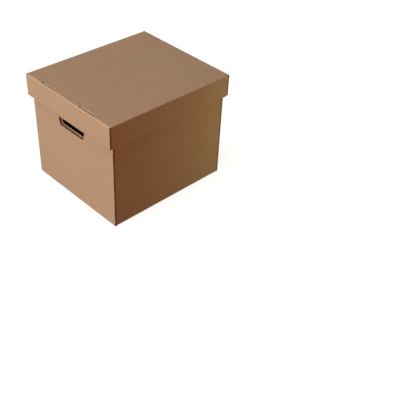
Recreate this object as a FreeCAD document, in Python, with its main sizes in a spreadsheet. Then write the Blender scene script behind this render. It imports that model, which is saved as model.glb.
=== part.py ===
import FreeCAD, Part
import math
import os

import Sketcher

# Storage box of corrugated board: a base tray and a telescoping lid, each folded from one sheet.
# The box's length lies along X and its width along Y. The base stands on Z = 0.
os.makedirs("parts", exist_ok=True)
doc = FreeCAD.newDocument("storage_box")

# Driving dimensions in millimetres
DIMENSIONS = (
    ("base_length", 400.0, "outside of the base, end to end"),
    ("base_width", 347.0, "outside of the base, side to side"),
    ("base_height", 325.5, "floor to rim"),
    ("board", 3.0, "thickness of the corrugated board"),
    ("layer_gap", 0.3, "air between two layers that lie against each other"),
    ("fold_land", 6.0, "how far a folded strip runs into the panel that it belongs to"),
    ("shoulder_drop", 1.0, "end panel's raw corners, below the rim or above the skirt's edge"),
    ("corner_gap", 0.5, "between the edge of a lining and the wall beside it"),
    ("flap_relief", 1.0, "between a tucked flap and the folds above and below it"),
    ("flap_parting", 2.0, "between the two flaps that meet behind an end panel"),
    ("seat_gap", 0.3, "between the rim and the underside of the closed lid"),
    ("lid_depth", 67.5, "top face of the lid to the lower edge of its skirt"),
    ("lid_end_clearance", 3.4, "base end to the lining of the lid's skirt"),
    ("lid_side_clearance", 3.0, "base side to the lid's skirt"),
    ("tab_length", 57.0, "each locking tab, along the end"),
    ("tab_spacing", 161.0, "between the middles of the two tabs of an end"),
    ("tab_clearance", 0.5, "between a tab and its slot"),
    ("tab_recess", 0.4, "tab's edge below the face that it comes through to"),
    ("hole_top_length", 111.0, "straight upper edge of the hand hole"),
    ("hole_foot_length", 84.0, "straight part of the hand hole's lower edge"),
    ("hole_height", 25.5, "upper to lower edge of the hand hole"),
    ("hole_depth", 78.5, "rim to the upper edge of the hand hole"),
    ("hole_corner_radius", 12.0, "lower corners of the hand hole"),
    ("lining_hole_step", 3.5, "lining's hole inside the outline of the outer hole"),
)

sizes = doc.addObject("Spreadsheet::Sheet", "sizes")
for row, (alias, size, note) in enumerate(DIMENSIONS, start=1):
    sizes.set(f"A{row}", alias)
    sizes.set(f"B{row}", str(size))
    sizes.set(f"C{row}", note)
    sizes.setAlias(f"B{row}", alias)
doc.recompute()

# Sizes that follow from the driving dimensions
FOLD = "(sizes.board + sizes.layer_gap / 2)"
FOLD_INSIDE = "(sizes.layer_gap / 2)"
END_STACK = "(3 * sizes.board + 2 * sizes.layer_gap)"
SIDE_STACK = "(2 * sizes.board + sizes.layer_gap)"
WRAP_INSET = "(sizes.board + sizes.layer_gap)"
LID_LENGTH = f"(sizes.base_length + 2 * {END_STACK} + 2 * sizes.lid_end_clearance)"
LID_WIDTH = "(sizes.base_width + 2 * sizes.board + 2 * sizes.lid_side_clearance)"
LID_UNDER = "(sizes.base_height + sizes.seat_gap)"
LID_TOP = f"({LID_UNDER} + sizes.board)"
SKIRT_EDGE = f"({LID_TOP} - sizes.lid_depth)"

# The four headings of a strip in its sketch, a quarter turn to the left from each to the next
HEADINGS = (
    FreeCAD.Vector(1, 0, 0),
    FreeCAD.Vector(0, 1, 0),
    FreeCAD.Vector(-1, 0, 0),
    FreeCAD.Vector(0, -1, 0),
)
RIGHTWARD, UPWARD, LEFTWARD, DOWNWARD = range(4)


def number(expression):
    return float(sizes.evalExpression(expression))


def origin_plane(body, role):
    return next(plane for plane in body.Origin.OriginFeatures if plane.Role == role)


def new_sketch(body, name, role, offset="0"):
    """Sketch on one of the body's own origin planes, moved along that plane's normal."""
    sketch = body.newObject("Sketcher::SketchObject", name)
    sketch.AttachmentSupport = [(origin_plane(body, role), "")]
    sketch.MapMode = "FlatFace"
    sketch.setExpression("AttachmentOffset.Base.z", offset)
    return sketch


def drive(sketch, kind, places, expression):
    """Add a dimension whose value follows the sheet."""
    index = sketch.addConstraint(Sketcher.Constraint(kind, *places, number(expression)))
    label = f"size_{index}"
    sketch.renameConstraint(index, label)
    sketch.setExpression(f"Constraints.{label}", expression)


def place(sketch, line, point, across, up):
    """Hold one end of a line at the coordinates that two expressions give."""
    for kind, expression in (("DistanceX", across), ("DistanceY", up)):
        if number(expression) < 0:
            drive(sketch, kind, (line, point, -1, 1), f"-1 * {expression}")
        else:
            drive(sketch, kind, (-1, 1, line, point), expression)


def rectangle(sketch, left, bottom, right, top):
    """Closed rectangle whose four sides stand where the expressions say."""
    low = FreeCAD.Vector(number(left), number(bottom), 0)
    high = FreeCAD.Vector(number(right), number(top), 0)
    corners = (
        low,
        FreeCAD.Vector(high.x, low.y, 0),
        high,
        FreeCAD.Vector(low.x, high.y, 0),
    )
    lines = [
        sketch.addGeometry(Part.LineSegment(corners[side], corners[(side + 1) % 4]))
        for side in range(4)
    ]
    for side, line in enumerate(lines):
        following = lines[(side + 1) % 4]
        sketch.addConstraint(Sketcher.Constraint("Coincident", line, 2, following, 1))
        direction = "Vertical" if side % 2 else "Horizontal"
        sketch.addConstraint(Sketcher.Constraint(direction, line))
    place(sketch, lines[0], 1, left, bottom)
    place(sketch, lines[2], 1, right, top)


def folded_strip(sketch, anchor, heading, runs):
    """Closed section of one strip of board that folds to the left after each run.

    anchor is where the strip's outer face starts, as two expressions. Each run has its
    straight length and the quarter turns that follow it.
    """
    board = number("sizes.board")
    inside = number(FOLD_INSIDE)
    start = FreeCAD.Vector(number(anchor[0]), number(anchor[1]), 0)
    fold = None
    for length, quarters in runs:
        inward = HEADINGS[(heading + 1) % 4]
        end = start + HEADINGS[heading] * number(length)
        outer = sketch.addGeometry(Part.LineSegment(start, end))
        inner = sketch.addGeometry(Part.LineSegment(start + inward * board, end + inward * board))
        direction = "Vertical" if heading % 2 else "Horizontal"
        for line in (outer, inner):
            sketch.addConstraint(Sketcher.Constraint(direction, line))
        ends = (outer, 1, outer, 2) if heading in (RIGHTWARD, UPWARD) else (outer, 2, outer, 1)
        drive(sketch, "DistanceY" if heading % 2 else "DistanceX", ends, length)
        if fold is None:
            place(sketch, outer, 1, *anchor)
            cut = close_end(sketch, outer, inner, 1, heading)
            drive(sketch, "Distance", (cut,), "sizes.board")
        else:
            sketch.addConstraint(Sketcher.Constraint("Tangent", fold[0], 2, outer, 1))
            sketch.addConstraint(Sketcher.Constraint("Tangent", fold[1], 2, inner, 1))
        if quarters == 0:
            close_end(sketch, outer, inner, 2, heading)
            break
        centre = end + inward * (board + inside)
        first = math.atan2(-inward.y, -inward.x)
        last = first + quarters * math.pi / 2
        fold = []
        for radius, line in ((board + inside, outer), (inside, inner)):
            circle = Part.Circle(centre, FreeCAD.Vector(0, 0, 1), radius)
            arc = sketch.addGeometry(Part.ArcOfCircle(circle, first, last))
            sketch.addConstraint(Sketcher.Constraint("Tangent", line, 2, arc, 1))
            fold.append(arc)
        sketch.addConstraint(Sketcher.Constraint("Coincident", fold[0], 3, fold[1], 3))
        drive(sketch, "Radius", (fold[1],), FOLD_INSIDE)
        heading = (heading + quarters) % 4
        start = centre - HEADINGS[(heading + 1) % 4] * (board + inside)


def close_end(sketch, outer, inner, point, heading):
    """Cut edge of the board across the strip."""
    ends = [sketch.getPoint(line, point) for line in (outer, inner)]
    cut = sketch.addGeometry(Part.LineSegment(*ends))
    sketch.addConstraint(Sketcher.Constraint("Coincident", cut, 1, outer, point))
    sketch.addConstraint(Sketcher.Constraint("Coincident", cut, 2, inner, point))
    direction = "Horizontal" if heading % 2 else "Vertical"
    sketch.addConstraint(Sketcher.Constraint(direction, cut))
    return cut


def pad(body, sketch, name, length, both_ways=False):
    """Raise a sketch along its plane's normal, or to both sides of the plane."""
    feature = body.newObject("PartDesign::Pad", name)
    feature.Profile = sketch
    feature.SideType = "Symmetric" if both_ways else "One side"
    feature.setExpression("Length", length)
    doc.recompute()
    return feature


def pocket(body, sketch, name, length):
    """Cut a sketch along its plane's normal, and make sure that it met the board."""
    volume_before = body.Shape.Volume
    feature = body.newObject("PartDesign::Pocket", name)
    feature.Profile = sketch
    feature.Reversed = True
    feature.setExpression("Length", length)
    doc.recompute()
    if body.Shape.Volume >= volume_before:
        raise RuntimeError(f"{name} cut nothing")
    return feature


def mirror(body, name, features, role):
    """Repeat the features on the other side of one of the body's origin planes."""
    copy = body.newObject("PartDesign::Mirrored", name)
    copy.Originals = features
    copy.MirrorPlane = (origin_plane(body, role), [""])
    body.Tip = copy
    doc.recompute()


def new_body(label):
    body = doc.addObject("PartDesign::Body", label)
    body.Label = label
    return body


def panel(body, name, role, offset, thickness, left, bottom, right, top):
    """Flat rectangle of board."""
    sketch = new_sketch(body, f"{name}_sketch", role, offset)
    rectangle(sketch, left, bottom, right, top)
    return pad(body, sketch, name, thickness)


def opening(body, name, role, offset, depth, left, bottom, right, top):
    """Rectangle that is cut away."""
    sketch = new_sketch(body, f"{name}_sketch", role, offset)
    rectangle(sketch, left, bottom, right, top)
    return pocket(body, sketch, name, depth)


def folded_panel(body, name, role, anchor, heading, runs, span):
    """Folded strip of board that reaches half of its span to each side of the sketch's plane."""
    sketch = new_sketch(body, f"{name}_sketch", role)
    folded_strip(sketch, anchor, heading, runs)
    return pad(body, sketch, name, span, both_ways=True)


def side_wrap(body, half_length, half_width, low, high):
    """Side panel in plan, with the flap that turns in behind each end panel."""
    flap_run = f"({half_width} - {FOLD} - sizes.flap_parting / 2)"
    anchor = (f"({half_length} - {WRAP_INSET})", "(sizes.flap_parting / 2)")
    straight = f"(2 * {half_length} - 2 * {WRAP_INSET} - 2 * {FOLD})"
    sketch = new_sketch(body, "side_wrap_sketch", "XY_Plane", low)
    folded_strip(sketch, anchor, UPWARD, ((flap_run, 1), (straight, 1), (flap_run, 0)))
    return pad(body, sketch, "side_wrap", f"{high} - {low}")


def trim_flaps(body, name, half_length, half_width, low, high):
    """Shorten the flap behind an end panel, so that it clears the fold above or below it."""
    edge = f"({half_width} - {FOLD})"
    return opening(
        body, name, "YZ_Plane", f"({half_length} - {END_STACK})", f"({SIDE_STACK} + {FOLD_INSIDE})",
        f"(-1 * {edge})", low, edge, high)


def tab_edges(clearance):
    """Low and high Y of the two locking tabs of an end, grown by a clearance."""
    reach = f"(sizes.tab_length / 2 + {clearance})"
    for middle in ("(-1 * sizes.tab_spacing / 2)", "(sizes.tab_spacing / 2)"):
        yield f"({middle} - {reach})", f"({middle} + {reach})"


def tab_slots(body, offset, left, right):
    """Slots in a floor or a top, for the locking tabs of an end's lining."""
    return [
        opening(body, f"slot_{count}", "XY_Plane", offset, "sizes.board", left, low, right, high)
        for count, (low, high) in enumerate(tab_edges("sizes.tab_clearance"), start=1)
    ]


def locking_tabs(body, offset, reach, left):
    """Tabs that stand on the edge of an end's lining."""
    right = f"({left} + sizes.board)"
    return [
        panel(body, f"tab_{count}", "XY_Plane", offset, reach, left, low, right, high)
        for count, (low, high) in enumerate(tab_edges("0"), start=1)
    ]


def hand_hole(body, name, offset, depth, inset):
    """Opening with a straight upper edge, sides that lean in, and rounded lower corners."""
    half_top = f"(sizes.hole_top_length / 2 - {inset})"
    half_foot = "(sizes.hole_foot_length / 2)"
    ceiling = f"(sizes.base_height - sizes.hole_depth - {inset})"
    foot = f"(sizes.base_height - sizes.hole_depth - sizes.hole_height + {inset})"
    radius = f"(sizes.hole_corner_radius - {inset})"

    # Angle at which the rounded corner meets the side that leans in
    run = number(half_top) - number(half_foot)
    rise = number(ceiling) - number(foot) - number(radius)
    meeting = math.atan2(rise, run) - math.acos(number(radius) / math.hypot(run, rise))

    sketch = new_sketch(body, f"{name}_sketch", "YZ_Plane", offset)
    top_corners = [FreeCAD.Vector(way * number(half_top), number(ceiling), 0) for way in (1, -1)]
    foot_ends = [FreeCAD.Vector(way * number(half_foot), number(foot), 0) for way in (-1, 1)]
    ceiling_line = sketch.addGeometry(Part.LineSegment(*top_corners))
    foot_line = sketch.addGeometry(Part.LineSegment(*foot_ends))
    right_arc = (-math.pi / 2, meeting)
    left_arc = (math.pi - meeting, 3 * math.pi / 2)
    for angles, at_foot, at_side in ((right_arc, 1, 2), (left_arc, 2, 1)):
        centre = foot_ends[at_side - 1] + FreeCAD.Vector(0, number(radius), 0)
        circle = Part.Circle(centre, FreeCAD.Vector(0, 0, 1), number(radius))
        arc = sketch.addGeometry(Part.ArcOfCircle(circle, *angles))
        side_line = sketch.addGeometry(
            Part.LineSegment(sketch.getPoint(arc, at_side), top_corners[at_foot - 1]))
        sketch.addConstraint(Sketcher.Constraint("Tangent", arc, at_foot, foot_line, at_side))
        sketch.addConstraint(Sketcher.Constraint("Tangent", arc, at_side, side_line, 1))
        sketch.addConstraint(Sketcher.Constraint("Coincident", side_line, 2, ceiling_line, at_foot))
        drive(sketch, "Radius", (arc,), radius)
    place(sketch, ceiling_line, 1, half_top, ceiling)
    place(sketch, foot_line, 2, half_foot, foot)
    for line in (ceiling_line, foot_line):
        sketch.addConstraint(Sketcher.Constraint("Symmetric", line, 1, line, 2, -2))
    return pocket(body, sketch, name, depth)


def make_base():
    body = new_body("base_tray")
    half_length = "(sizes.base_length / 2)"
    half_width = "(sizes.base_width / 2)"
    floor_x = f"({half_length} - {FOLD})"
    floor_y = f"({half_width} - {FOLD})"
    wall_rise = f"(sizes.base_height - 2 * {FOLD})"
    lining_drop = f"(sizes.base_height - {FOLD} - {WRAP_INSET})"
    below_rim = f"(sizes.base_height - {FOLD} - sizes.fold_land)"
    shoulder_top = "(sizes.base_height - sizes.shoulder_drop)"
    panel(body, "floor", "XY_Plane", "0", "sizes.board",
          f"(-1 * {floor_x})", f"(-1 * {floor_y})", floor_x, floor_y)

    # Long sides: outer panel, tucked flaps, and a lining that rolls over the rim
    side_wall = folded_panel(
        body, "side_wall", "YZ_Plane", (f"({floor_y} - sizes.fold_land)", "0"), RIGHTWARD,
        (("sizes.fold_land", 1), (wall_rise, 0)),
        f"(2 * ({half_length} - {WRAP_INSET} - {FOLD}))")
    flaps = side_wrap(body, half_length, half_width, FOLD, shoulder_top)
    side_lining = folded_panel(
        body, "side_lining", "YZ_Plane", (half_width, below_rim), UPWARD,
        (("sizes.fold_land", 2), (lining_drop, 0)),
        f"(2 * ({half_length} - {END_STACK} - sizes.corner_gap))")
    mirror(body, "sides", [side_wall, flaps, side_lining], "XZ_Plane")

    # Ends: outer panel, tucked flaps, and a lining that rolls over the rim and locks in the floor
    flap_head = trim_flaps(body, "flap_head", half_length, half_width,
                           "(sizes.base_height - sizes.board - sizes.flap_relief)", "sizes.base_height")
    flap_foot = trim_flaps(body, "flap_foot", half_length, half_width,
                           "sizes.board", "(sizes.board + sizes.flap_relief)")
    end_wall = folded_panel(
        body, "end_wall", "XZ_Plane", (f"({floor_x} - sizes.fold_land)", "0"), RIGHTWARD,
        (("sizes.fold_land", 1), (wall_rise, 0)), f"(2 * {half_width})")
    end_corners = panel(
        body, "end_corners", "YZ_Plane", f"({half_length} - sizes.board)", "sizes.board",
        f"(-1 * {half_width})", FOLD, half_width, shoulder_top)
    lining_face = f"({half_length} - {END_STACK})"
    slots = tab_slots(body, "0", f"({lining_face} - sizes.tab_clearance)",
                      f"({lining_face} + sizes.board + sizes.tab_clearance)")
    end_lining = folded_panel(
        body, "end_lining", "XZ_Plane", (half_length, below_rim), UPWARD,
        (("sizes.fold_land", 1), (f"({END_STACK} - 2 * {FOLD})", 1), (lining_drop, 0)),
        f"(2 * ({half_width} - {SIDE_STACK} - sizes.corner_gap))")
    tabs = locking_tabs(body, "sizes.tab_recess",
                        f"({WRAP_INSET} + sizes.fold_land - sizes.tab_recess)", lining_face)
    lining_hole = hand_hole(body, "lining_hole", "0", half_length, "sizes.lining_hole_step")
    outer_hole = hand_hole(body, "outer_hole", f"({lining_face} + sizes.board + {FOLD_INSIDE})",
                           END_STACK, "0")
    mirror(body, "ends", [flap_head, flap_foot, end_wall, end_corners, *slots, end_lining, *tabs,
                          lining_hole, outer_hole], "YZ_Plane")
    return body


def make_lid():
    body = new_body("lid")
    half_length = f"({LID_LENGTH} / 2)"
    half_width = f"({LID_WIDTH} / 2)"
    top_x = f"({half_length} - {FOLD})"
    top_y = f"({half_width} - {FOLD})"
    panel(body, "top", "XY_Plane", LID_UNDER, "sizes.board",
          f"(-1 * {top_x})", f"(-1 * {top_y})", top_x, top_y)

    # Long sides: one layer, with tucked flaps
    side_skirt = folded_panel(
        body, "side_skirt", "YZ_Plane", (half_width, SKIRT_EDGE), UPWARD,
        ((f"(sizes.lid_depth - {FOLD})", 1), ("sizes.fold_land", 0)),
        f"(2 * ({half_length} - {WRAP_INSET} - {FOLD}))")
    flaps = side_wrap(body, half_length, half_width, SKIRT_EDGE, f"({LID_TOP} - {FOLD})")
    mirror(body, "sides", [side_skirt, flaps], "XZ_Plane")

    # Ends: outer panel, tucked flaps, and a lining that rolls under the edge and locks in the top
    flap_head = trim_flaps(body, "flap_head", half_length, half_width,
                           f"({LID_UNDER} - sizes.flap_relief)", LID_UNDER)
    flap_foot = trim_flaps(body, "flap_foot", half_length, half_width,
                           SKIRT_EDGE, f"({SKIRT_EDGE} + sizes.board + sizes.flap_relief)")
    end_skirt = folded_panel(
        body, "end_skirt", "XZ_Plane", (half_length, f"({SKIRT_EDGE} + {FOLD})"), UPWARD,
        ((f"(sizes.lid_depth - 2 * {FOLD})", 1), ("sizes.fold_land", 0)), f"(2 * {half_width})")
    end_corners = panel(
        body, "end_corners", "YZ_Plane", f"({half_length} - sizes.board)", "sizes.board",
        f"(-1 * {half_width})", f"({SKIRT_EDGE} + sizes.shoulder_drop)",
        half_width, f"({LID_TOP} - {FOLD})")
    lining_face = f"({half_length} - {END_STACK})"
    slots = tab_slots(body, LID_UNDER, f"({lining_face} - sizes.tab_clearance)", top_x)
    end_lining = folded_panel(
        body, "end_lining", "XZ_Plane", (lining_face, f"({LID_UNDER} - sizes.layer_gap)"), DOWNWARD,
        ((f"(sizes.lid_depth - {WRAP_INSET} - {FOLD})", 1), (f"({END_STACK} - 2 * {FOLD})", 1),
         ("sizes.fold_land", 0)),
        f"(2 * ({half_width} - sizes.board - sizes.corner_gap))")
    tabs = locking_tabs(body, f"({LID_UNDER} - sizes.layer_gap - sizes.fold_land)",
                        f"(sizes.fold_land + {WRAP_INSET} - sizes.tab_recess)", lining_face)
    mirror(body, "ends", [flap_head, flap_foot, end_skirt, end_corners, *slots, end_lining, *tabs],
           "YZ_Plane")
    return body


def check_document():
    failed = [item.Name for item in doc.Objects if {"Invalid", "Error"} & set(item.State)]
    if failed:
        raise RuntimeError(f"failed objects: {failed}")


def export(body):
    """Write one folded sheet, once it is a single sound solid."""
    shape = body.Shape
    if shape.isNull() or not shape.isValid() or len(shape.Solids) != 1:
        raise RuntimeError(f"{body.Label} is not one valid solid")
    shape.exportStep(f"parts/{body.Label}.step")
    print(body.Label, round(shape.Volume), "cubic mm")


sheets = (make_base(), make_lid())
doc.recompute()
check_document()
for sheet in sheets:
    export(sheet)
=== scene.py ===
import math

import bpy
import numpy as np
from mathutils import Matrix, Vector, noise
from mathutils.geometry import delaunay_2d_cdt


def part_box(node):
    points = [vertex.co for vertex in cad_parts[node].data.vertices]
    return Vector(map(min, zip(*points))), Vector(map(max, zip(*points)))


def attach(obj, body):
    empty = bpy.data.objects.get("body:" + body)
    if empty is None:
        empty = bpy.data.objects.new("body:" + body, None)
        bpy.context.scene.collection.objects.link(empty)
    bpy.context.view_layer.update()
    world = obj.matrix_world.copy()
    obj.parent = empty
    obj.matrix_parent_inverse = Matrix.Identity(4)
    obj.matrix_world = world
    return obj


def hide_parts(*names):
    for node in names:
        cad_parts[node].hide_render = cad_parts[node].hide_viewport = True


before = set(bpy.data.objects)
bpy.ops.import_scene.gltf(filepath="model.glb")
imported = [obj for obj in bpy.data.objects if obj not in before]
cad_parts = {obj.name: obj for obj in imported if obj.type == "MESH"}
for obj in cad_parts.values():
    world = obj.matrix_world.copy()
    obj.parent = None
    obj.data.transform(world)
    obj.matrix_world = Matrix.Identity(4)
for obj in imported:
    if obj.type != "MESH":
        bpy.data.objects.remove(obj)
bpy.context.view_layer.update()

# Sizes of the folded board, in millimetres, as in the part's source
BOARD = 3.0
LAYER_GAP = 0.3
FOLD = BOARD + LAYER_GAP / 2
QUARTER = (FOLD - BOARD / 2) * math.pi / 2
END_STACK = 3 * BOARD + 2 * LAYER_GAP
SIDE_STACK = 2 * BOARD + LAYER_GAP
WRAP_INSET = BOARD + LAYER_GAP
SHOULDER_DROP = 1.0
CORNER_GAP = 0.5
FLAP_RELIEF = 1.0
FLAP_PARTING = 2.0
TAB_LENGTH = 57.0
TAB_SPACING = 161.0
TAB_CLEARANCE = 0.5
TAB_RECESS = 0.4
HOLE_TOP_LENGTH = 111.0
HOLE_FOOT_LENGTH = 84.0
HOLE_HEIGHT = 25.5
HOLE_DEPTH = 78.5
HOLE_CORNER_RADIUS = 12.0
LINING_HOLE_STEP = 3.5

# Make-up of the board: two flat liners and a fluted sheet between them
LINER = 0.42
MEDIUM = 0.34
FLUTE_PITCH = 6.4
FLUTE_CLEARANCE = 0.02
FLUTE_SWING = BOARD / 2 - LINER - MEDIUM / 2 - FLUTE_CLEARANCE

# Cut edges: their hollow between the liners is shallow along the flutes and deep across them. An edge
# is closed where it crosses the flutes by less than a share of its length. The flutes lie behind the
# liners by a share of the hollow's depth.
CLOSED_RECESS = 0.35
OPEN_RECESS = 3.0
CLOSED_CROSSING = 0.3
FLUTE_FRONT = 0.03

# How wide the bend of a fold fades out beside it, and how much of it the inner face has
BEND_FADE = 6.0
INNER_BEND = 0.4

# Mesh grid, in millimetres: its widest step, the lines beside folds, slots and edges, the patch
# round a hand hole, and the steps along cut edges
GRID = 11.0
FOLD_MARGINS = (2.5, 7.0)
PANEL_MARGINS = (3.0, 7.0)
LID_SLOT_MARGIN = 4.0
SKIRT_MARGIN = 8.0
TONGUE_GAP = 0.5
HOLE_PATCH_Y = 66.0
HOLE_PATCH_Z = (212.0, 256.0)
HOLE_EDGE_STEP = 8.0
FLUTE_STEP = 0.8
EDGE_STEP = 12.0

# Steps per quarter turn of a fold and per corner of a hand hole
FOLD_SEGMENTS = 5
HOLE_ARC_STEPS = 8

# Tolerances, in millimetres, and the angle from which an edge is sharp
TINY = 1e-7
NEAR = 1e-6
HOLE_WELD = 1e-5
DOUBLE = 1e-3
SHARP_ANGLE = math.radians(33)

# Kinds of faces: the closed kind carries a painted highlight, the hole kind painted shade
LINER_FACE, CUT_FACE, FLUTE_FACE, CLOSED_HIGHLIGHT_FACE, HOLE_SHADE_FACE = range(5)


def lines(low, high, wanted=()):
    """Grid lines from low to high: the wanted ones, and others no further apart than the grid."""
    stops = sorted({round(x, 5) for x in (low, high, *wanted) if low - NEAR <= x <= high + NEAR})
    found = []
    for start, end in zip(stops, stops[1:]):
        count = max(1, math.ceil((end - start) / GRID - NEAR))
        found += [start + (end - start) * i / count for i in range(count)]
    return found + [stops[-1]]


def merged(*several):
    """Sorted values of several lists, without near doubles."""
    found = []
    for value in sorted(value for values in several for value in values):
        if not found or value - found[-1] > DOUBLE:
            found.append(value)
    return found


def both_ways(values):
    """Each value and its negative."""
    return [way * value for value in values for way in (-1, 1)]


class Strip:
    """Section of a strip of board: straight runs, each followed by quarter turns to the left.

    One that is hung is drawn upside down, with its heights measured down from hung_from.
    """

    def __init__(self, start, heading, runs, reach, hung_from=None):
        point, angle = np.array(start, float), heading * math.pi / 2
        self.hung_from = hung_from
        self.parts = []
        self.folds = []
        for length, quarters in runs:
            ahead = np.array((math.cos(angle), math.sin(angle)))
            inward = np.array((-ahead[1], ahead[0]))
            self.parts.append(("run", reach, reach + length, point, ahead, inward))
            reach += length
            point = point + ahead * length
            if quarters:
                centre = point + inward * FOLD
                self.parts.append(("turn", reach, reach + quarters * QUARTER, centre, angle, 0))
                self.folds.append((reach, reach + quarters * QUARTER))
                reach += quarters * QUARTER
                angle += quarters * math.pi / 2
                point = centre - FOLD * np.array((-math.sin(angle), math.cos(angle)))
        self.end = reach

    def run(self, number):
        """Where a straight run starts and ends along the sheet."""
        return [part[1:3] for part in self.parts if part[0] == "run"][number]

    def at(self, along, depth):
        """Point of the section, at a distance along the sheet and a depth under its outer face."""
        point = self.drawn(along, depth)
        return point if self.hung_from is None else (point[0], self.hung_from - point[1])

    def drawn(self, along, depth):
        """The same point before the strip is hung."""
        for kind, low, high, origin, way, inward in self.parts:
            if along <= high + TINY or high == self.end:
                break
        if kind == "run":
            return origin + way * (along - low) + inward * depth
        angle = way + (along - low) / QUARTER * math.pi / 2
        return origin - (FOLD - depth) * np.array((-math.sin(angle), math.cos(angle)))

    def lines(self, low, high, wanted=()):
        """Grid lines along the strip, close together round its folds."""
        stops = [low, high, *wanted]
        for start, end in self.folds:
            segments = FOLD_SEGMENTS * round((end - start) / QUARTER)
            stops += [start + (end - start) * i / segments for i in range(segments + 1)]
            for margin in FOLD_MARGINS:
                stops += [start - margin, end + margin]
        return lines(low, high, stops)

    def bend(self, along):
        """1 on a fold, falling to 0 beside it."""
        away = min((max(low - along, along - high, 0) for low, high in self.folds), default=BEND_FADE)
        return max(0.0, 1 - away / BEND_FADE)


class Sheet:
    """One folded sheet of board, as patches whose corners are welded.

    A corner is a point of the outer face, the one under it, its place on the flat sheet and its bend.
    """

    def __init__(self):
        self.corners = []
        self.index = {}
        self.faces = []

    def corner(self, outer, inner, flat, bend):
        key = tuple(round(x, 3) + 0.0 for x in (*outer, *inner))
        if key not in self.index:
            self.index[key] = len(self.corners)
            self.corners.append((np.array(outer, float), np.array(inner, float), flat, bend))
        return self.index[key]

    def patch(self, place, flat, bend, across, along, keep=None, hole=None):
        """Grid of faces over two sets of lines. place gives a point from the two and a depth."""
        def corner(a, b):
            return self.corner(place(a, b, 0.0), place(a, b, BOARD), flat(a, b), bend(a, b))

        for a0, a1 in zip(across, across[1:]):
            for b0, b1 in zip(along, along[1:]):
                middle = ((a0 + a1) / 2, (b0 + b1) / 2)
                if keep and not keep(*middle):
                    continue
                if hole and inside(hole.frame, middle):
                    continue
                self.face([corner(*p) for p in ((a0, b0), (a1, b0), (a1, b1), (a0, b1))])
        if hole:
            for triangle in hole.triangles(across, along):
                self.face([corner(*p) for p in triangle])

    def face(self, corners):
        """Face with its outer side outwards, and without doubled corners."""
        corners = [c for i, c in enumerate(corners) if c != corners[i - 1]]
        a, b, c = (self.corners[i][0] for i in corners[:3])
        outward = self.corners[corners[0]][0] - self.corners[corners[0]][1]
        if np.dot(np.cross(b - a, c - b), outward) < 0:
            corners.reverse()
        self.faces.append(corners)

    def rims(self):
        """Closed loops of corners round the sheet's cut edges, with the board on the left."""
        edges = dict.fromkeys(
            (face[i - 1], corner) for face in self.faces for i, corner in enumerate(face))
        after = {}
        for a, b in edges:
            if (b, a) not in edges:
                after.setdefault(a, []).append(b)
        loops = []
        while after:
            loop = [next(iter(after))]
            while True:
                following = after[loop[-1]].pop()
                if not after[loop[-1]]:
                    del after[loop[-1]]
                if following == loop[0]:
                    break
                loop.append(following)
            loops.append(loop)
        return loops


def inside(box, point):
    return box[0] < point[0] < box[2] and box[1] < point[1] < box[3]


class HandHole:
    """Hand hole in a patch whose lines are Y, and the height above the floor or a reach along it."""

    def __init__(self, inset, frame_box, height):
        self.frame = frame_box
        half_top = HOLE_TOP_LENGTH / 2 - inset
        half_foot = HOLE_FOOT_LENGTH / 2
        top = BASE_HIGH[2] - HOLE_DEPTH - inset
        foot = BASE_HIGH[2] - HOLE_DEPTH - HOLE_HEIGHT + inset
        radius = HOLE_CORNER_RADIUS - inset
        run, rise = half_top - half_foot, top - foot - radius
        meeting = math.atan2(rise, run) - math.acos(radius / math.hypot(run, rise))
        turn = [-math.pi / 2 + (meeting + math.pi / 2) * i / HOLE_ARC_STEPS
                for i in range(HOLE_ARC_STEPS + 1)]
        right = [(half_foot + radius * math.cos(t), foot + radius + radius * math.sin(t)) for t in turn]
        right += spaced(right[-1], (half_top, top))[1:]
        left = [(-y, z) for y, z in reversed(right)]
        loop = right + spaced(right[-1], left[0])[1:-1] + left + spaced(left[-1], right[0])[1:-1]
        self.loop = [(y, height(z)) for y, z in loop]

    def triangles(self, across, along):
        """Triangles between the hole and the grid lines that frame it."""
        low_a, low_b, high_a, high_b = self.frame
        grid_a = [a for a in across if low_a - NEAR <= a <= high_a + NEAR]
        grid_b = [b for b in along if low_b - NEAR <= b <= high_b + NEAR]
        border = [(a, low_b) for a in grid_a] + [(high_a, b) for b in grid_b[1:]]
        border += [(a, high_b) for a in reversed(grid_a[:-1])]
        border += [(low_a, b) for b in reversed(grid_b[1:-1])]
        loop = clipped(self.loop, low_a, high_a)
        points = border + loop
        edges = [(i, (i + 1) % len(border)) for i in range(len(border))]
        edges += [(len(border) + i, len(border) + (i + 1) % len(loop)) for i in range(len(loop))]
        places, _, faces, *_ = delaunay_2d_cdt([Vector(p) for p in points], edges, [], 0, HOLE_WELD)
        for face in faces:
            corners = [tuple(places[i]) for i in face]
            middle = (sum(p[0] for p in corners) / 3, sum(p[1] for p in corners) / 3)
            if not within(loop, middle):
                yield corners


def spaced(start, end):
    """Points from start to end, no further apart than the step along a hole's edge."""
    count = max(1, math.ceil(math.dist(start, end) / HOLE_EDGE_STEP))
    return [tuple(a + (b - a) * i / count for a, b in zip(start, end)) for i in range(count + 1)]


def clipped(loop, low, high):
    """The part of a loop between two values of its first coordinate."""
    for limit, way in ((low, 1), (high, -1)):
        kept = []
        for i, point in enumerate(loop):
            before = loop[i - 1]
            if (point[0] - limit) * way * ((before[0] - limit) * way) < 0:
                share = (limit - before[0]) / (point[0] - before[0])
                kept.append((limit, before[1] + (point[1] - before[1]) * share))
            if (point[0] - limit) * way >= 0:
                kept.append(point)
        loop = kept
    return loop


def within(loop, point):
    """Whether a point lies inside a closed loop."""
    odd = False
    for i, (x1, y1) in enumerate(loop):
        x0, y0 = loop[i - 1]
        if (y0 > point[1]) == (y1 > point[1]):
            continue
        if point[0] < x0 + (point[1] - y0) / (y1 - y0) * (x1 - x0):
            odd = not odd
    return odd


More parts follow.
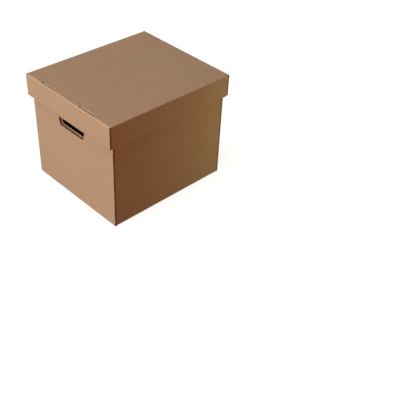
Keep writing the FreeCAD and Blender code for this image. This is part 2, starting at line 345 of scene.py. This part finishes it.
# Outside of the two sheets, in millimetres
BASE_HIGH = np.array(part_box("base_tray")[1]) * 1000
LID_LOW, LID_HIGH = (np.array(corner) * 1000 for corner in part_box("lid"))


def tab_edges(clearance=0.0):
    """Low and high Y of the two locking tabs of an end, grown by a clearance."""
    reach = TAB_LENGTH / 2 + clearance
    return [(middle - reach, middle + reach) for middle in (-TAB_SPACING / 2, TAB_SPACING / 2)]


def in_tab(y, clearance=0.0):
    return any(low < y < high for low, high in tab_edges(clearance))


def panel_patch(sheet, level, up, x_lines, y_lines, slots, side_x, edge_y):
    """Floor or top. up is 1 where the board's inner face is above its outer face."""
    def keep(x, y):
        if abs(y) > edge_y:
            return abs(x) > side_x + TONGUE_GAP
        return not (slots[0] < abs(x) < slots[1] and in_tab(y, TAB_CLEARANCE))

    edge_x = x_lines[-1]
    sheet.patch(lambda x, y, depth: (x, y, level + up * depth), lambda x, y: (x, y),
                lambda x, y: max(0.0, 1 - min(edge_x - abs(x), edge_y - abs(y)) / BEND_FADE),
                x_lines, y_lines, keep)


def end_patch(sheet, way, strip, y_lines, reach_lines, keep, hole=None):
    """Patch of an end: the strip's section lies in the XZ plane."""
    def place(y, along, depth):
        x, z = strip.at(along, depth)
        return way * x, y, z

    sheet.patch(place, lambda y, along: (way * along, y), lambda y, along: strip.bend(along),
                y_lines, reach_lines, keep, hole)


def side_patch(sheet, way, strip, x_lines, reach_lines, keep):
    """Patch of a long side: the strip's section lies in the YZ plane."""
    def place(x, along, depth):
        y, z = strip.at(along, depth)
        return x, way * y, z

    sheet.patch(place, lambda x, along: (x, way * along), lambda x, along: strip.bend(along),
                x_lines, reach_lines, keep)


def corner_patch(sheet, way_x, way_y, strip, reach_of, reach_lines, z_lines, keep, hole=None):
    """Corner fold and tucked flap: the strip's section lies in plan."""
    def place(along, z, depth):
        x, y = strip.at(along, depth)
        return way_x * x, way_y * y, z

    sheet.patch(place, lambda along, z: (way_x * along, way_y * reach_of(z)),
                lambda along, z: strip.bend(along), reach_lines, z_lines, keep, hole)


TAB_LINES = [y for edges in (*tab_edges(), *tab_edges(TAB_CLEARANCE)) for y in edges]


def keep_of_end(wall_end, lining_end, lining_y):
    """What is kept of an end's patch: the whole wall, the lining between the sides, its tabs."""
    def keep(y, along):
        if along < wall_end:
            return True
        if along < lining_end:
            return abs(y) < lining_y
        return in_tab(y)

    return keep


def base_sheet():
    """The base's sheet, folded up."""
    sheet = Sheet()
    length, width, height = BASE_HIGH
    wall_low, wall_high = FOLD, height - FOLD
    shoulder = height - SHOULDER_DROP
    floor_x, floor_y = length - FOLD, width - FOLD
    side_x = length - WRAP_INSET - FOLD
    side_lining_x = length - END_STACK - CORNER_GAP
    end_lining_y = width - SIDE_STACK - CORNER_GAP
    slot = (length - END_STACK - TAB_CLEARANCE, length - END_STACK + BOARD + TAB_CLEARANCE)
    flap_low, flap_high = BOARD + FLAP_RELIEF, height - BOARD - FLAP_RELIEF
    patch_low, patch_high = HOLE_PATCH_Z

    x_lines = lines(-floor_x, floor_x, both_ways((
        *slot, side_x, side_x + TONGUE_GAP, side_lining_x,
        *(floor_x - margin for margin in PANEL_MARGINS))))
    y_lines = lines(-width, width, (*TAB_LINES, *both_ways((
        floor_y, end_lining_y, HOLE_PATCH_Y, HOLE_PATCH_Y / 2,
        *(floor_y - margin for margin in PANEL_MARGINS)))))
    panel_patch(sheet, 0.0, 1, x_lines, y_lines, slot, side_x, floor_y)

    z_lines = lines(wall_low, shoulder, (
        wall_high, *HOLE_PATCH_Z, flap_low, flap_high,
        *(wall_low + margin for margin in FOLD_MARGINS),
        *(wall_high - margin for margin in FOLD_MARGINS)))
    wall_z = [z for z in z_lines if z <= wall_high + NEAR]

    # Ends
    end = Strip((floor_x, 0), 0, (
        (0, 1), (wall_high - wall_low, 1), (END_STACK - 2 * FOLD, 1),
        (height - FOLD - WRAP_INSET, 0), (WRAP_INSET - TAB_RECESS, 0)), floor_x)
    wall_start, wall_end = end.run(1)
    lining_start, lining_end = end.run(3)
    end_keep = keep_of_end(wall_end, lining_end, end_lining_y)

    def wall_at(z):
        return wall_start + z - wall_low

    def lining_at(z):
        return lining_start + wall_high - z

    outer_hole = HandHole(
        0.0, (-HOLE_PATCH_Y, wall_at(patch_low), HOLE_PATCH_Y, wall_at(patch_high)), wall_at)
    lining_hole = HandHole(
        LINING_HOLE_STEP, (-HOLE_PATCH_Y, lining_at(patch_high), HOLE_PATCH_Y, lining_at(patch_low)),
        lining_at)
    lining_reach = end.lines(wall_end, end.end, (lining_end, *(lining_at(z) for z in HOLE_PATCH_Z)))
    wall_reach = merged(end.lines(floor_x, wall_start), (wall_at(z) for z in wall_z))
    upright = Strip((length, wall_low), 1, ((shoulder - wall_low, 0),), wall_start)
    for way in (-1, 1):
        end_patch(sheet, way, end, y_lines, wall_reach, end_keep, outer_hole)
        end_patch(sheet, way, end, y_lines, lining_reach, end_keep, lining_hole)
        end_patch(sheet, way, upright, y_lines, [wall_end, wall_end + shoulder - wall_high],
                  lambda y, along: abs(y) > end_lining_y)

    # Long sides
    side = Strip((floor_y, 0), 0, (
        (0, 1), (wall_high - wall_low, 2), (height - FOLD - WRAP_INSET, 0)), floor_y)
    side_start, side_end = side.run(1)

    def side_at(z):
        return side_start + z - wall_low

    side_x_lines = [x for x in x_lines if abs(x) <= side_x + NEAR]
    side_reach = merged(side.lines(floor_y, side_start), (side_at(z) for z in wall_z))
    roll_reach = side.lines(side_end, side.end)
    side_upright = Strip((width, wall_low), 1, ((shoulder - wall_low, 0),), side_start)

    # Flaps
    wrap = Strip((side_x, -width), 0, ((0, 1), (floor_y - FLAP_PARTING / 2, 0)), side_x)
    flap_start = wrap.run(1)[0]

    def flap_keep(along, z):
        return along < flap_start or flap_low < z < flap_high

    flap_span = wrap.end + FLAP_PARTING / 2
    flap_hole = HandHole(
        0.0, (flap_span - HOLE_PATCH_Y, patch_low, wrap.end, patch_high), lambda z: z)
    flap_hole.loop = [(flap_span - y, z) for y, z in flap_hole.loop]
    flap_reach = wrap.lines(
        side_x, wrap.end, (flap_span - HOLE_PATCH_Y, flap_span - HOLE_PATCH_Y / 2))
    for way in (-1, 1):
        side_patch(sheet, way, side, side_x_lines, side_reach, None)
        side_patch(sheet, way, side, side_x_lines, roll_reach, lambda x, along: abs(x) < side_lining_x)
        side_patch(sheet, way, side_upright, side_x_lines,
                   [side_end, side_end + shoulder - wall_high], lambda x, along: abs(x) > side_lining_x)
        for way_x in (-1, 1):
            corner_patch(sheet, way_x, -way, wrap, side_at, flap_reach, z_lines, flap_keep, flap_hole)
    return sheet


def lid_sheet():
    """The lid's sheet, folded down. Strips are hung from its top, so that their folds turn left."""
    sheet = Sheet()
    length, width, top = LID_HIGH
    skirt = LID_LOW[2]
    wall_low, wall_high = skirt + FOLD, top - FOLD
    shoulder = skirt + SHOULDER_DROP
    top_x, top_y = length - FOLD, width - FOLD
    side_x = length - WRAP_INSET - FOLD
    lining_y = width - BOARD - CORNER_GAP
    slot = (length - END_STACK - TAB_CLEARANCE, top_x)

    x_lines = lines(-top_x, top_x, both_ways((
        slot[0], side_x, side_x + TONGUE_GAP, slot[0] - LID_SLOT_MARGIN)))
    y_lines = lines(-width, width, (*TAB_LINES, *both_ways((
        top_y, lining_y, *(top_y - margin for margin in PANEL_MARGINS)))))
    panel_patch(sheet, top, -1, x_lines, y_lines, slot, side_x, top_y)

    flap_low, flap_high = skirt + BOARD + FLAP_RELIEF, top - BOARD - FLAP_RELIEF
    z_lines = lines(skirt, wall_high, (
        shoulder, wall_low, flap_low, flap_high, skirt + SKIRT_MARGIN,
        *(wall_high - margin for margin in FOLD_MARGINS)))

    # Ends
    end = Strip((top_x, 0), 0, (
        (0, 1), (wall_high - wall_low, 1), (END_STACK - 2 * FOLD, 1),
        (top - BOARD - LAYER_GAP - wall_low, 0), (WRAP_INSET - TAB_RECESS, 0)), top_x, top)
    wall_start, wall_end = end.run(1)
    lining_end = end.run(3)[1]
    end_keep = keep_of_end(wall_end, lining_end, lining_y)
    wall_reach = merged(end.lines(top_x, wall_start),
                        (wall_start + wall_high - z for z in z_lines if z >= wall_low - NEAR))
    lining_reach = end.lines(wall_end, end.end, (lining_end,))
    upright = Strip((length, FOLD), 1, ((wall_high - shoulder, 0),), wall_start, top)
    for way in (-1, 1):
        end_patch(sheet, way, end, y_lines, wall_reach, end_keep)
        end_patch(sheet, way, end, y_lines, lining_reach, end_keep)
        end_patch(sheet, way, upright, y_lines, [wall_end, upright.end],
                  lambda y, along: abs(y) > lining_y)

    # Long sides and flaps
    side = Strip((top_y, 0), 0, ((0, 1), (wall_high - skirt, 0)), top_y, top)
    side_start = side.run(1)[0]

    def side_at(z):
        return side_start + wall_high - z

    side_x_lines = [x for x in x_lines if abs(x) <= side_x + NEAR]
    side_reach = merged(side.lines(top_y, side_start), (side_at(z) for z in z_lines))
    wrap = Strip((side_x, -width), 0, ((0, 1), (top_y - FLAP_PARTING / 2, 0)), side_x)
    flap_start = wrap.run(1)[0]
    for way in (-1, 1):
        side_patch(sheet, way, side, side_x_lines, side_reach, None)
        for way_x in (-1, 1):
            corner_patch(sheet, way_x, -way, wrap, side_at, wrap.lines(side_x, wrap.end), z_lines,
                         lambda along, z: along < flap_start or flap_low < z < flap_high)
    return sheet


def in_hand_hole(place):
    """Whether a point of a cut edge belongs to a hand hole."""
    margin = 1.0
    head = BASE_HIGH[2] - HOLE_DEPTH
    beside = abs(place[1]) < HOLE_TOP_LENGTH / 2 + margin
    return beside and head - HOLE_HEIGHT - margin < place[2] < head + margin


def cut_offsets(sheet, loop):
    """For each corner of a cut edge, how far and which way the edge is hollowed."""
    nearly_straight, turning_back = 0.97, -0.5
    count = len(loop)
    sides = []
    for i in range(count):
        a, b = (sheet.corners[loop[j]] for j in (i, (i + 1) % count))
        ahead = (b[0] + b[1]) / 2 - (a[0] + a[1]) / 2
        size = np.linalg.norm(ahead)
        ahead = ahead / size
        outward = (a[0] - a[1]) + (b[0] - b[1])
        inward = np.cross(outward / np.linalg.norm(outward), ahead)
        crossing = min(1.0, abs(b[2][0] - a[2][0]) / size)
        sides.append((ahead, inward, CLOSED_RECESS + (OPEN_RECESS - CLOSED_RECESS) * crossing))
    offsets = []
    for i in range(count):
        ahead1, inward1, depth1 = sides[i - 1]
        ahead2, inward2, depth2 = sides[i]
        facing = float(np.dot(inward1, inward2))
        if facing > nearly_straight:
            offsets.append((inward1 + inward2) / 2 * (depth1 + depth2) / 2)
        elif facing < turning_back:
            offsets.append((ahead1 - ahead2) / 2 * min(depth1, depth2))
        else:
            share = 1 - facing * facing
            offsets.append(inward1 * (depth1 - facing * depth2) / share
                           + inward2 * (depth2 - facing * depth1) / share)
    return offsets


# Third coordinate of each layer's place on the flat sheet, which keeps the layers' patterns apart
OUTER_LAYER = 0.0
INNER_LAYER = 400.0
EDGE_LAYERS = (40.0, 80.0, 120.0, 160.0)
FLUTE_LAYERS = (200.0, 200.0, 200.3, 200.3)


class BoardMesh:
    """Points and faces of a sheet's mesh, with the place of each point on the flat sheet."""

    def __init__(self):
        self.points, self.flats, self.bends, self.faces, self.kinds = [], [], [], [], []

    def point(self, place, flat, bend=0.0):
        self.points.append(place)
        self.flats.append(flat)
        self.bends.append(bend)
        return len(self.points) - 1

    def face(self, corners, kind):
        self.faces.append(corners)
        self.kinds.append(kind)

    def band(self, rings, kind_of):
        """Faces between each ring of points and the next, round a closed loop."""
        for i, ring in enumerate(rings):
            following = rings[(i + 1) % len(rings)]
            for k in range(len(ring) - 1):
                self.face((following[k], ring[k], ring[k + 1], following[k + 1]), kind_of(i, k))


def add_cut_edge(mesh, sheet, loop, offsets, outer, inner):
    """Cut edge of both liners, and the hollow between them."""
    rings = []
    for corner, offset in zip(loop, offsets):
        outside, underside, (u, v), bend = sheet.corners[corner]
        liner = (underside - outside) / BOARD * LINER
        places = (outside + liner, outside + liner + offset, underside - liner + offset, underside - liner)
        between = [mesh.point(place, (u, v, layer), bend) for place, layer in zip(places, EDGE_LAYERS)]
        rings.append((outer[corner], *between, inner[corner]))

    def kind_of(i, k):
        a, b = (sheet.corners[loop[j % len(loop)]] for j in (i, i + 1))
        # Edges in the hand holes take the darker material: painted shade
        if in_hand_hole(a[0]):
            return HOLE_SHADE_FACE
        # Closed edges take the pale material: partly paler cut paper, partly a painted highlight
        if abs(b[2][0] - a[2][0]) < CLOSED_CROSSING * np.linalg.norm(b[0] - a[0]):
            return CLOSED_HIGHLIGHT_FACE
        return CUT_FACE if k in (0, 4) else FLUTE_FACE

    mesh.band(rings, kind_of)


def add_flutes(mesh, sheet, loop, offsets):
    """The fluted sheet between the liners, where a cut edge shows it."""
    ribbon = []
    for i, corner in enumerate(loop):
        following = (i + 1) % len(loop)
        a, b = sheet.corners[corner], sheet.corners[loop[following]]
        flute_run = abs(b[2][0] - a[2][0])
        size = np.linalg.norm(b[0] - a[0])
        steps = max(1, math.ceil(flute_run / FLUTE_STEP), math.ceil(size / EDGE_STEP))
        for step in range(steps):
            share = step / steps
            outside = a[0] * (1 - share) + b[0] * share
            underside = a[1] * (1 - share) + b[1] * share
            offset = offsets[i] * (1 - share) + offsets[following] * share
            u, v = (a[2][axis] * (1 - share) + b[2][axis] * share for axis in (0, 1))
            through = (underside - outside) / BOARD
            swing = FLUTE_SWING * math.sin(2 * math.pi * u / FLUTE_PITCH)
            middle = (outside + underside) / 2 + through * swing
            half = through * MEDIUM / 2
            front = offset * FLUTE_FRONT
            places = (middle - half + offset, middle - half + front,
                      middle + half + front, middle + half + offset)
            ribbon.append([mesh.point(place, (u, v, layer)) for place, layer in zip(places, FLUTE_LAYERS)])
    mesh.band(ribbon, lambda i, k: CUT_FACE if k == 1 else FLUTE_FACE)


def build(name, sheet, warp):
    """Object of a sheet: its two faces, its cut edges, and the flutes that show there."""
    board = BoardMesh()
    outer, inner = [], []
    for outside, underside, (u, v), bend in sheet.corners:
        outer.append(board.point(outside, (u, v, OUTER_LAYER), bend))
        inner.append(board.point(underside, (u, v, INNER_LAYER), bend * INNER_BEND))
    for corners in sheet.faces:
        board.face([outer[c] for c in corners], LINER_FACE)
        board.face([inner[c] for c in reversed(corners)], LINER_FACE)
    for loop in sheet.rims():
        offsets = cut_offsets(sheet, loop)
        add_cut_edge(board, sheet, loop, offsets, outer, inner)
        add_flutes(board, sheet, loop, offsets)

    mesh = bpy.data.meshes.new(name)
    places = np.array([warp(p) for p in board.points]) / 1000
    mesh.from_pydata(places.tolist(), [], board.faces)
    mesh.polygons.foreach_set("material_index", board.kinds)
    flat = mesh.attributes.new("board_flat", "FLOAT_VECTOR", "POINT")
    flat.data.foreach_set("vector", (np.array(board.flats, np.float32) / 1000).ravel())
    bend = mesh.attributes.new("board_bend", "FLOAT", "POINT")
    bend.data.foreach_set("value", np.array(board.bends, np.float32))
    mesh.update()
    mesh.validate()
    mesh.shade_smooth()
    mesh.set_sharp_from_angle(angle=SHARP_ANGLE)
    piece = bpy.data.objects.new(name, mesh)
    bpy.context.scene.collection.objects.link(piece)
    return piece


def ramp(value, low, high):
    """0 up to low, 1 from high on, and smooth between."""
    share = min(1.0, max(0.0, (value - low) / (high - low)))
    return share * share * (3 - 2 * share)


class Bow:
    """Bow of a panel: its mean and its uneven part in millimetres, the noise seeds of the panels on
    the positive and the negative side, and how far from each edge it begins and is full."""

    def __init__(self, mean, uneven, seeds, *reaches):
        self.mean, self.uneven, self.seeds, self.reaches = mean, uneven, seeds, reaches

    def at(self, place, side, *from_edges):
        """Bow at a point, with the sign of its side, from its distances to the edges."""
        x, y, z = place / UNEVEN_SIZE
        seed = self.seeds[0] if side > 0 else self.seeds[1]
        share = math.prod(ramp(value, *reach) for value, reach in zip(from_edges, self.reaches))
        amount = self.mean + self.uneven * noise.noise(Vector((x + seed, y - seed, z)))
        return math.copysign(share * amount, side)


# Size of a bow's uneven patches, and how far below its layers a wall, or a floor or top, still bows
UNEVEN_SIZE = 140.0
WALL_MARGIN = 1.0
FACE_MARGIN = 0.5

# Edges, in order: foot, rim and uprights of a wall; top fold and uprights of a skirt; ends and sides
BASE_END_BOW = Bow(0.9, 0.8, (3, 11), (4, 110), (6, 120), (9, 120))
BASE_SIDE_BOW = Bow(1.0, 0.9, (5, 17), (4, 110), (6, 120), (12, 140))
BASE_FLOOR_BOW = Bow(0.7, 0.5, (23, 23), (14, 150), (10, 140))
LID_END_BOW = Bow(0.45, 0.4, (31, 37), (6, 60), (12, 120))
LID_SIDE_BOW = Bow(0.8, 0.7, (41, 43), (6, 60), (14, 130))
LID_TOP_BOW = Bow(1.1, 0.8, (47, 47), (30, 190), (28, 170))


def base_warp(place):
    """Slight outward bow of the base's walls, the same for all layers of one, and of its floor upwards."""
    x, y, z = place
    length, width, height = BASE_HIGH
    moved = np.array(place, float)
    if abs(x) > length - END_STACK - WALL_MARGIN:
        moved[0] += BASE_END_BOW.at(place, x, z, height - z, width - abs(y))
    if abs(y) > width - SIDE_STACK - WALL_MARGIN:
        moved[1] += BASE_SIDE_BOW.at(place, y, z, height - z, length - abs(x))
    if z < BOARD + FACE_MARGIN:
        moved[2] += BASE_FLOOR_BOW.at(place, 1, length - abs(x), width - abs(y))
    return moved


def lid_warp(place):
    """Slight inward bow of the lid's skirts, and sag of its top."""
    x, y, z = place
    length, width, top = LID_HIGH
    moved = np.array(place, float)
    if abs(x) > length - END_STACK - WALL_MARGIN:
        moved[0] -= LID_END_BOW.at(place, x, top - z, width - abs(y))
    if abs(y) > width - BOARD - WALL_MARGIN:
        moved[1] -= LID_SIDE_BOW.at(place, y, top - z, length - abs(x))
    if z > top - BOARD - FACE_MARGIN:
        moved[2] -= LID_TOP_BOW.at(place, 1, length - abs(x), width - abs(y))
    return moved


class Nodes:
    """Small helper for shader node trees."""

    def __init__(self, tree):
        self.tree = tree
        self.tree.nodes.clear()

    def add(self, kind, inputs=None, **settings):
        """Node with its inputs, each a value or another node's socket."""
        node = self.tree.nodes.new(kind)
        for key, value in settings.items():
            setattr(node, key, value)
        for key, value in (inputs or {}).items():
            if isinstance(value, bpy.types.NodeSocket):
                self.tree.links.new(value, node.inputs[key])
            else:
                node.inputs[key].default_value = value
        return node

    def math(self, operation, a, b=0.0, c=0.0):
        return self.add("ShaderNodeMath", {0: a, 1: b, 2: c}, operation=operation).outputs[0]

    def times(self, value, factor):
        return self.math("MULTIPLY", value, factor)

    def centred(self, value, strength):
        """A noise value times a strength, with its middle at 0."""
        return self.math("MULTIPLY_ADD", value, strength, -strength / 2)

    def total(self, first, *others):
        for other in others:
            first = self.math("ADD", first, other)
        return first

    def noise(self, vector, scale, detail=2.0, roughness=0.5):
        return self.add("ShaderNodeTexNoise", {
            "Vector": vector, "Scale": scale, "Detail": detail, "Roughness": roughness}).outputs["Fac"]

    def stretched_noise(self, vector, scale, detail, roughness):
        stretched = self.add("ShaderNodeMapping", {"Vector": vector, "Scale": scale}).outputs[0]
        return self.noise(stretched, 1.0, detail, roughness)

    def mix(self, share, first, second):
        return self.add("ShaderNodeMix", {0: share, 6: first, 7: second}, data_type="RGBA").outputs[2]

    def range(self, value, low, high, to_low=0.0, to_high=1.0):
        return self.add("ShaderNodeMapRange", {
            "Value": value, "From Min": low, "From Max": high, "To Min": to_low, "To Max": to_high,
        }).outputs[0]

    def bump(self, height):
        return self.add("ShaderNodeBump", {"Height": height, "Strength": 1.0, "Distance": 1.0}).outputs[0]


def new_material(name):
    material = bpy.data.materials.new(name)
    material.use_nodes = True
    return material


# Noise scales per metre: one for all directions, or one each across the flutes, along them and
# between layers
CLOUD_SCALE = 26.0
FORMATION_SCALE = 190.0
FIBRE_SCALE = (420.0, 2400.0, 1000.0)
HAIR_SCALE = (260.0, 1500.0, 1000.0)
CROSSING_SCALE = (1500.0, 330.0, 1000.0)
FUZZ_SCALE = 1400.0
PATCH_SCALE = 160.0

# How much each pattern changes the liner's tone
CLOUD_TONE = 0.70
FORMATION_TONE = 0.55
FIBRE_TONE = 0.85
WAVE_TONE = 0.035

# Colours of the liner, and the heights of its relief in metres
KRAFT = (0.505, 0.312, 0.190, 1.0)
KRAFT_DARK = (0.425, 0.255, 0.150, 1.0)
KRAFT_PALE = (0.585, 0.375, 0.240, 1.0)
DARK_HAIR = (0.27, 0.145, 0.075, 1.0)
PALE_HAIR = (0.66, 0.46, 0.31, 1.0)
# Fold colour: partly real rubbing, partly a painted highlight along the creases
RUBBED_AND_HIGHLIGHT = (0.62, 0.43, 0.29, 1.0)
FIBRE_HEIGHT = 0.000035
FORMATION_HEIGHT = 0.00004
WAVE_HEIGHT = 0.000012
FUZZ_HEIGHT = 0.00012


def liner_material():
    """Kraft paper over flutes: clouds, fibres, stray hairs, and folds lighter from rubbing and from a
    painted highlight.
    """
    material = new_material("kraft_liner")
    nodes = Nodes(material.node_tree)
    flat = nodes.add("ShaderNodeAttribute", attribute_name="board_flat").outputs["Vector"]
    bend = nodes.add("ShaderNodeAttribute", attribute_name="board_bend").outputs["Fac"]
    across = nodes.add("ShaderNodeSeparateXYZ", {0: flat}).outputs[0]

    clouds = nodes.noise(flat, CLOUD_SCALE, 3.0, 0.6)
    formation = nodes.noise(flat, FORMATION_SCALE, 3.0, 0.6)
    fibres = nodes.stretched_noise(flat, FIBRE_SCALE, 3.0, 0.65)
    hairs = nodes.stretched_noise(flat, HAIR_SCALE, 2.0, 0.5)
    crossing = nodes.stretched_noise(flat, CROSSING_SCALE, 2.0, 0.5)
    wave = nodes.math("SINE", nodes.times(across, 2 * math.pi / (FLUTE_PITCH / 1000)))

    tone = nodes.total(nodes.centred(clouds, CLOUD_TONE), nodes.centred(formation, FORMATION_TONE),
                       nodes.centred(fibres, FIBRE_TONE), nodes.times(wave, WAVE_TONE))
    colour = nodes.mix(nodes.math("MAXIMUM", tone, 0.0), KRAFT, KRAFT_PALE)
    colour = nodes.mix(nodes.math("MAXIMUM", nodes.times(tone, -1.0), 0.0), colour, KRAFT_DARK)
    colour = nodes.mix(nodes.times(nodes.range(hairs, 0.66, 0.74), 0.30), colour, DARK_HAIR)
    colour = nodes.mix(nodes.times(nodes.range(crossing, 0.67, 0.76), 0.35), colour, PALE_HAIR)
    # Folds made lighter: partly real rubbing, partly a painted highlight along the crease
    rubbed_and_highlight = nodes.times(
        nodes.range(bend, 0.80, 1.0), nodes.range(formation, 0.35, 0.68, 0.25, 1.0))
    colour = nodes.mix(nodes.times(rubbed_and_highlight, 0.45), colour, RUBBED_AND_HIGHLIGHT)

    height = nodes.total(nodes.times(fibres, FIBRE_HEIGHT), nodes.times(formation, FORMATION_HEIGHT),
                         nodes.times(wave, WAVE_HEIGHT))
    rough = nodes.range(formation, 0.3, 0.7, 0.80, 0.94)
    shader = nodes.add("ShaderNodeBsdfPrincipled", {
        "Base Color": colour,
        "Roughness": rough,
        "Specular IOR Level": 0.25,
        "Normal": nodes.bump(height),
    })
    nodes.add("ShaderNodeOutputMaterial", {"Surface": shader.outputs[0]})
    return material


def cut_material(name, colour, dark, rough):
    """Raw paper: a cut edge, or the fluted sheet inside the board."""
    material = new_material(name)
    nodes = Nodes(material.node_tree)
    flat = nodes.add("ShaderNodeAttribute", attribute_name="board_flat").outputs["Vector"]
    fuzz = nodes.noise(flat, FUZZ_SCALE, 3.0, 0.7)
    patches = nodes.noise(flat, PATCH_SCALE, 2.0)
    share = nodes.total(
        nodes.range(fuzz, 0.35, 0.68, 0.0, 0.6), nodes.range(patches, 0.35, 0.7, 0.0, 0.4))
    shader = nodes.add("ShaderNodeBsdfPrincipled", {
        "Base Color": nodes.mix(share, colour, dark),
        "Roughness": nodes.range(patches, 0.3, 0.7, rough, 0.98),
        "Specular IOR Level": 0.2,
        "Normal": nodes.bump(nodes.times(fuzz, FUZZ_HEIGHT)),
    })
    nodes.add("ShaderNodeOutputMaterial", {"Surface": shader.outputs[0]})
    return material


# Floor, in metres: half its size, its height just under the object, and the grey that takes light and
# shadow. Its own glow has a distance from the middle and a strength there, near by and far off.
FLOOR_REACH = 6.0
FLOOR_LEVEL = -0.0003
FLOOR_GREY = (0.42, 0.42, 0.42, 1.0)
GLOW_NEAR = (0.6, 0.80)
GLOW_FAR = (1.8, 1.0)

# World: what the camera sees, and what lights the object
WORLD_SEEN = (1.0, 1.0, 1.0, 1.0)
WORLD_COLOUR = (0.061, 0.046, 0.028, 1.0)


def make_floor():
    """White floor with the object's shadow. From below it is clear, and it lights nothing."""
    material = new_material("floor_white")
    nodes = Nodes(material.node_tree)
    shadow = nodes.add("ShaderNodeBsdfDiffuse", {"Color": FLOOR_GREY}).outputs[0]
    geometry = nodes.add("ShaderNodeNewGeometry")
    away = nodes.add("ShaderNodeVectorMath", {0: geometry.outputs["Position"]}, operation="LENGTH")
    (near, near_strength), (far, far_strength) = GLOW_NEAR, GLOW_FAR
    strength = nodes.range(away.outputs["Value"], near, far, near_strength, far_strength)
    glow = nodes.add("ShaderNodeEmission", {"Strength": strength}).outputs[0]
    above = nodes.add("ShaderNodeAddShader", {0: shadow, 1: glow}).outputs[0]
    clear = nodes.add("ShaderNodeBsdfTransparent").outputs[0]
    surface = nodes.add("ShaderNodeMixShader", {0: geometry.outputs["Backfacing"], 1: above, 2: clear})
    nodes.add("ShaderNodeOutputMaterial", {"Surface": surface.outputs[0]})

    mesh = bpy.data.meshes.new("floor")
    corners = [(x * FLOOR_REACH, y * FLOOR_REACH, FLOOR_LEVEL)
               for x, y in ((-1, -1), (1, -1), (1, 1), (-1, 1))]
    mesh.from_pydata(corners, [], [(0, 1, 2, 3)])
    mesh.materials.append(material)
    floor = bpy.data.objects.new("floor", mesh)
    bpy.context.scene.collection.objects.link(floor)
    floor.visible_diffuse = False
    floor.visible_glossy = False
    floor.visible_shadow = False


def make_world():
    """White where the camera sees it, and a dim warm light for the object."""
    world = bpy.data.worlds.new("studio")
    world.use_nodes = True
    nodes = Nodes(world.node_tree)
    seen = nodes.add("ShaderNodeLightPath").outputs["Is Camera Ray"]
    ambient = nodes.add("ShaderNodeBackground", {"Color": WORLD_COLOUR}).outputs[0]
    white = nodes.add("ShaderNodeBackground", {"Color": WORLD_SEEN}).outputs[0]
    choice = nodes.add("ShaderNodeMixShader", {0: seen, 1: ambient, 2: white}).outputs[0]
    nodes.add("ShaderNodeOutputWorld", {"Surface": choice})
    bpy.context.scene.world = world


# Lamps: direction from the target, distance, size, power and colour
LAMP_TARGET = Vector((0.0, 0.0, 0.16))
LAMPS = {
    "key": ((-0.97, 0.08, 0.22), 3.2, 1.5, 81.0, (1.0, 1.0, 1.0)),
    "top": ((-0.25, -0.05, 1.0), 3.0, 1.2, 34.8, (1.0, 1.0, 1.0)),
    "side": ((0.85, -0.80, 0.10), 1.0, 0.3, 2.8, (0.98, 1.0, 0.62)),
    "warm_fill": ((-0.45, -1.0, 0.12), 0.85, 0.5, 0.55, (1.0, 0.03, 0.01)),
    "back": ((0.85, 0.90, 0.06), 3.0, 1.8, 58.0, (1.0, 1.0, 1.0)),
    "under": ((0.15, 0.10, -1.0), 3.0, 1.8, 26.0, (1.0, 1.0, 1.0)),
}


def make_lamps():
    """Soft square lamps that face the object."""
    for name, (direction, distance, size, power, colour) in LAMPS.items():
        lamp = bpy.data.lights.new(name, "AREA")
        lamp.shape = "SQUARE"
        lamp.size = size
        lamp.energy = power
        lamp.color = colour
        holder = bpy.data.objects.new(name, lamp)
        away = Vector(direction).normalized()
        holder.location = LAMP_TARGET + away * distance
        holder.rotation_euler = (-away).to_track_quat("-Z", "Y").to_euler()
        bpy.context.scene.collection.objects.link(holder)


# Camera: its angles in degrees, its place in metres, and its focal length in pixels of the photograph
AZIMUTH, ELEVATION, ROLL = -46.693, 38.309, 3.538
CAMERA_PLACE = (-1.1201, -1.3534, 1.2803)
FOCAL_PIXELS = 712.3
PICTURE_WIDTH = 400
SENSOR_WIDTH = 36.0
VIEW_END = 50.0


def make_camera():
    """Camera at the photograph's viewing angle, for a square picture."""
    azimuth, elevation, roll = (math.radians(a) for a in (AZIMUTH, ELEVATION, ROLL))
    back = Vector((math.sin(azimuth) * math.cos(elevation), -math.cos(azimuth) * math.cos(elevation),
                   math.sin(elevation)))
    level = Vector((0, 0, 1)).cross(back).normalized()
    up = back.cross(level)
    right = level * math.cos(roll) + up * math.sin(roll)
    up = up * math.cos(roll) - level * math.sin(roll)
    data = bpy.data.cameras.new("camera")
    data.sensor_width = SENSOR_WIDTH
    data.lens = FOCAL_PIXELS / PICTURE_WIDTH * SENSOR_WIDTH
    data.clip_end = VIEW_END
    camera = bpy.data.objects.new("camera", data)
    turn = Matrix((right, up, back)).transposed().to_4x4()
    camera.matrix_world = Matrix.Translation(CAMERA_PLACE) @ turn
    bpy.context.scene.collection.objects.link(camera)
    bpy.context.scene.camera = camera


bpy.context.scene.view_settings.view_transform = "Standard"
make_camera()
make_floor()
make_world()
make_lamps()

# In the order of the face kinds
MATERIALS = (
    liner_material(),
    cut_material("cut_edge", (0.56, 0.37, 0.23, 1.0), (0.40, 0.25, 0.15, 1.0), 0.85),
    cut_material("fluting", (0.36, 0.22, 0.13, 1.0), (0.25, 0.145, 0.085, 1.0), 0.88),
    # Closed cut edges: partly the paler raw paper, partly a painted highlight
    cut_material("closed_edge_and_highlight", (0.94, 0.73, 0.54, 1.0), (0.80, 0.59, 0.42, 1.0), 0.85),
    # Hand-hole cut edges: darker than the other edges, as painted shade
    cut_material("hole_edge_painted_shade", (0.32, 0.20, 0.12, 1.0), (0.20, 0.12, 0.07, 1.0), 0.88),
)
for node, body, sheet, warp in (
    ("base_tray", "base", base_sheet(), base_warp),
    ("lid", "lid", lid_sheet(), lid_warp),
):
    piece = build(f"{node}_board", sheet, warp)
    for material in MATERIALS:
        piece.data.materials.append(material)
    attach(piece, body)
    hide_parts(node)
    print(piece.name, len(piece.data.polygons), "faces")
